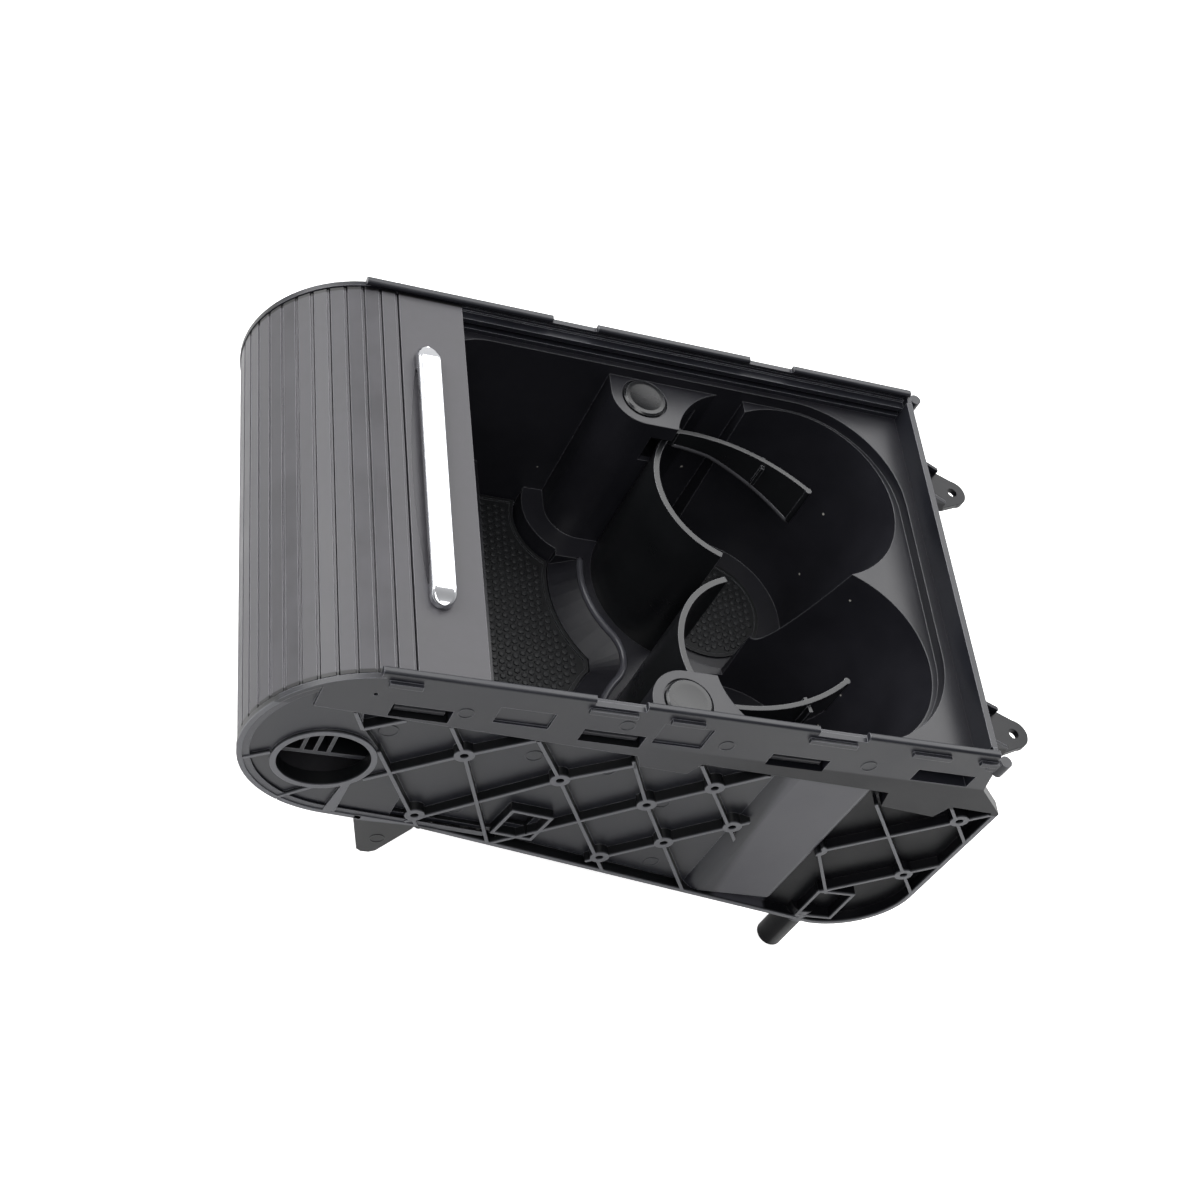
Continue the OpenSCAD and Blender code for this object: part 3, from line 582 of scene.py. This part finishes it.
# Shutter: polypropylene slats on a thin web, charcoal, with a fine leather-like grain that
# takes a soft even light. The lead bar is moulded on to the last slat, and the slats' ends are
# painted dark, as painted shade in the gap at the rim.
slat_pp = moulded(
    "moulded_polypropylene_charcoal", "#3c3b3f", "#97969b",
    roughness=0.44, grain_mm=0.7, grain_depth=0.05, cloud_mm=18.0, edge_mm=0.3,
)
slat_place = node(
    slat_pp, "ShaderNodeSeparateXYZ",
    {"Vector": node(slat_pp, "ShaderNodeTexCoord").outputs["Object"]},
).outputs
slat_outward = node(
    slat_pp, "ShaderNodeMath", {0: slat_place["Y"]}, operation="ABSOLUTE"
).outputs["Value"]
# Painted shade at the slats' ends.
slat_end_shade = where(slat_pp, (slat_outward, 0.0810, 0.0814))
repaint(slat_pp, slat_end_shade, "#08080a")
dress(slat_pp, "slat_curtain", "lead_bar")

# Slats that unroll: at rest they lie folded up inside the lead bar. Their spread places run at
# the slats' real pitch from the top of the nose to the lead bar, and each folded place is worked
# back from its spread one through a smooth step of its share of the way.
slat_pitch, slat_number, travel = 6.15, 33, 184.0
fold_x0, fold_x1, first_slat_x = 46.25, 69.35, 46
slat_top, slat_low, slat_y = -0.95, -2.95, 82.3
slat_steps = ((6.1, 0), (1.3, 0), (1.2, 0.5), (0.5, 0.5), (0.3, 1.2), (0.06, 1.2))
share = np.linspace(0, 1, 20001)
spread = fold_x0 + (fold_x1 - fold_x0) * share + travel * share * share * (3 - 2 * share)
profile = [(fold_x0, slat_top)]
for k in range(1, slat_number + 1):
    rear_x = first_slat_x + k * slat_pitch
    for back, drop in slat_steps:
        profile.append((rear_x - back, slat_top - drop))
profile = [p for p in profile if fold_x0 <= p[0] < fold_x1 + travel]
folded = fold_x0 + (fold_x1 - fold_x0) * np.interp([p[0] for p in profile], spread, share)
points, faces = [], []
for x, (_, z) in zip(folded, profile):
    points += [at(x, -slat_y, z), at(x, slat_y, z)]
    points += [at(x, slat_y, slat_low), at(x, -slat_y, slat_low)]
for i in range(len(profile) - 1):
    for k in range(4):
        a, b = 4 * i + k, 4 * i + (k + 1) % 4
        faces.append((a, a + 4, b + 4, b))
faces += [(0, 1, 2, 3), tuple(range(len(points) - 4, len(points)))[::-1]]
unrolling = piece("unrolling_slats", points, faces, None, slat_pp)
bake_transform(unrolling)

# Finger bar: a bright chrome-plated ABS bar on two feet, screwed from below. The plate is
# mirror bright, so it shows the light overhead as white and the panel beside it as dark. Its
# section is rounded, and its ends slope down to the feet.
chrome, chrome_shader = finish("bright_chrome_plate", Metallic=1.0)
here = node(chrome, "ShaderNodeTexCoord").outputs["Object"]
handled = node(
    chrome, "ShaderNodeTexNoise", {"Vector": here, "Scale": 220.0, "Detail": 5.0}
).outputs["Fac"]
chrome_tone = node(
    chrome, "ShaderNodeMix", {"Factor": handled, 6: paint("#dfe1e6"), 7: paint("#f1f2f5")},
    data_type="RGBA",
).outputs[2]
chrome_gloss = node(
    chrome, "ShaderNodeMapRange", {"Value": handled, "To Min": 0.03, "To Max": 0.09}
).outputs["Result"]
chrome.node_tree.links.new(chrome_tone, chrome_shader.inputs["Base Color"])
chrome.node_tree.links.new(chrome_gloss, chrome_shader.inputs["Roughness"])
dress(chrome, "finger_bar")

bar_x, bar_half, bar_end, bar_top, bar_low = 55.0, 4.3, 56.0, 4.5, 1.2
foot_from, foot_run, foot_sink = 42, 6, 0.25
slope_from, slope_run, slope_drop = 49, 7, 2.0
corner_r, corner_steps = 1.3, 6
stations, points, faces = 91, [], []
for i in range(stations):
    y = -bar_end * math.cos(math.pi * i / (stations - 1))
    past = max(0.0, abs(y) - (bar_end - bar_half))
    half = max(0.08, math.sqrt(max(0.0, bar_half**2 - past**2)))
    sink = min(1.0, max(0.0, (abs(y) - foot_from) / foot_run))
    low_z = bar_low - sink * sink * (3 - 2 * sink) * (bar_low + foot_sink)
    slope = min(1.0, max(0.0, (abs(y) - slope_from) / slope_run))
    top_z = bar_top - slope * slope * (3 - 2 * slope) * slope_drop
    soft = min(corner_r, half * 0.9, (top_z - low_z) * 0.6)
    right = [(half, low_z + 0.1), (half, (low_z + top_z - soft) / 2), (half, top_z - soft - 0.05)]
    for k in range(corner_steps + 1):
        turn = math.pi / 2 * k / corner_steps
        right.append((half - soft + soft * math.cos(turn), top_z - soft + soft * math.sin(turn)))
    right.append((max(0.02, half - soft - 0.25), top_z))
    section = right + [(-x, z) for x, z in reversed(right)]
    points += [at(bar_x + x, y, z) for x, z in section]
sides = len(section)
for i in range(stations - 1):
    for k in range(sides):
        a, b = i * sides + k, i * sides + (k + 1) % sides
        faces.append((a, a + sides, b + sides, b))
faces += [tuple(range(sides)), tuple(range(len(points) - sides, len(points)))[::-1]]
finger_bar = piece(
    "chrome_finger_bar", points, faces, "shutter", chrome, smooth=True
)
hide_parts("finger_bar")

# Guide shoes: natural acetal, milky and slippery, moulded, one at each end of the lead bar.
# They run in the rails' inner grooves and keep the shutter square.
acetal = moulded(
    "natural_acetal", "#d8d5cb", "#e6e4dc", roughness=0.3, grain_mm=0.6, grain_depth=0.02
)
dress(acetal, "guide_shoe_left", "guide_shoe_right")

# Studio: a plain white floor under the pegs, a white surround that is darker on the camera's
# side, and three wide soft lamps, one overhead behind the holder, one on the nose's side and
# one beside the camera.
ground_z, ground_half = cad_box[0].z - 0.0005, 6
floor_paint, floor_shader = finish("white_studio_floor", Roughness=0.8)
floor_shader.inputs["Base Color"].default_value = paint("#f4f4f4")
floor_shader.inputs["Specular IOR Level"].default_value = 0.1
sight = node(floor_paint, "ShaderNodeLightPath").outputs["Is Camera Ray"]
lift = node(
    floor_paint, "ShaderNodeMath", {0: sight, 1: 0.75}, operation="MULTIPLY"
).outputs["Value"]
floor_shader.inputs["Emission Color"].default_value = (1, 1, 1, 1)
floor_paint.node_tree.links.new(lift, floor_shader.inputs["Emission Strength"])
ground = [
    (-ground_half, -ground_half, ground_z), (ground_half, -ground_half, ground_z),
    (ground_half, ground_half, ground_z), (-ground_half, ground_half, ground_z),
]
mesh = bpy.data.meshes.new("studio_floor")
mesh.from_pydata(ground, [], [(0, 1, 2, 3)])
mesh.materials.append(floor_paint)
studio_floor = bpy.data.objects.new("studio_floor", mesh)
bpy.context.collection.objects.link(studio_floor)

world = bpy.data.worlds.new("studio")
bpy.context.scene.world = world
world.use_nodes = True
sky = world.node_tree.nodes["Background"]
path = node(world, "ShaderNodeLightPath")
seen = node(
    world, "ShaderNodeMath",
    {0: path.outputs["Is Camera Ray"], 1: path.outputs["Is Transmission Ray"]}, operation="MAXIMUM",
).outputs["Value"]
across_room = node(
    world, "ShaderNodeSeparateXYZ",
    {"Vector": node(world, "ShaderNodeTexCoord").outputs["Generated"]},
).outputs["Y"]
room = node(
    world, "ShaderNodeMapRange",
    {"Value": across_room, "From Min": -0.7, "From Max": 0.6, "To Min": 0.12, "To Max": 0.8},
    interpolation_type="SMOOTHSTEP",
).outputs["Result"]
sky_level = node(
    world, "ShaderNodeMapRange", {"Value": seen, "To Min": room, "To Max": 1.0}
).outputs["Result"]
sky.inputs["Color"].default_value = (1, 1, 1, 1)
world.node_tree.links.new(sky_level, sky.inputs["Strength"])

for name, stands, aim, size, watts in (
    ("softbox_over", (0.35, 0.55, 0.95), (0, 0, -0.02), 1.1, 11.5),
    ("softbox_left", (-1.05, 0.55, 0.75), (-0.15, 0, -0.02), 1.0, 14),
    ("softbox_front", (-0.55, -0.75, 1.2), (-0.1, 0, -0.05), 0.8, 11),
):
    lamp = bpy.data.lights.new(name, "AREA")
    lamp.shape = "SQUARE"
    lamp.size = size
    lamp.energy = watts
    stand = bpy.data.objects.new(name, lamp)
    bpy.context.collection.objects.link(stand)
    stand.location = stands
    stand.rotation_euler = (Vector(aim) - Vector(stands)).to_track_quat("-Z", "Y").to_euler()

bpy.context.scene.view_settings.view_transform = "Standard"
